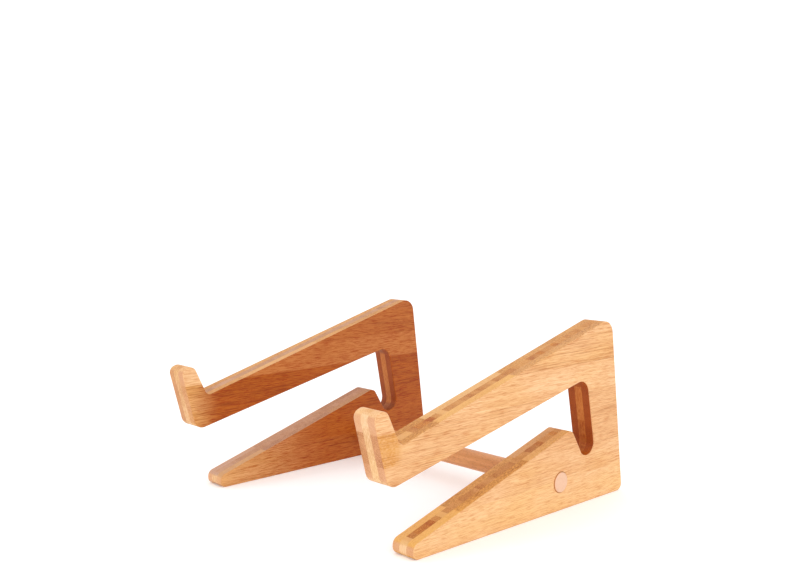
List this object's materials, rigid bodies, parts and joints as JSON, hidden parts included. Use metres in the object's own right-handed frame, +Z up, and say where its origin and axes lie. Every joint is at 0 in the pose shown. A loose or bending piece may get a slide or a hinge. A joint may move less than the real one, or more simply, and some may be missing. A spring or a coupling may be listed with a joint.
{
  "type": "laptop stand",
  "caption": "Wooden laptop stand: layered side panels with hooked sloping arms over wedge feet, pushed onto a round crossbar. It also works turned onto its back edges.",
  "frame": {"origin": "on the desk, under the middle of the stand's bounding box", "axes": "+Z up from the desk, front (the hooks) towards -Y, +X to the right as seen from the front, along the crossbar"},
  "size_m": [0.2414, 0.2642, 0.1368],
  "materials": {
    "bamboo_face": "satin clear lacquer over fine straight grain that runs front to back",
    "bamboo_core": "satin clear lacquer over narrow upright strips in mixed light and dark tones",
    "beech": "sanded and clear lacquered, with short fine flecks along the bar"
  },
  "bodies": {
    "crossbar": {"crossbar": "beech"},
    "left_panel": {"left_outer_ply": "bamboo_face", "left_core_ply": "bamboo_core", "left_inner_ply": "bamboo_face"},
    "right_panel": {"right_outer_ply": "bamboo_face", "right_core_ply": "bamboo_core", "right_inner_ply": "bamboo_face"}
  },
  "joints": [
    {"name": "left_panel_pull", "type": "slide", "parent": "crossbar", "child": "left_panel", "axis": [-1, 0, 0], "range_m": [0, 0.03]},
    {"name": "right_panel_pull", "type": "slide", "parent": "crossbar", "child": "right_panel", "axis": [1, 0, 0], "range_m": [0, 0.03]}
  ]
}
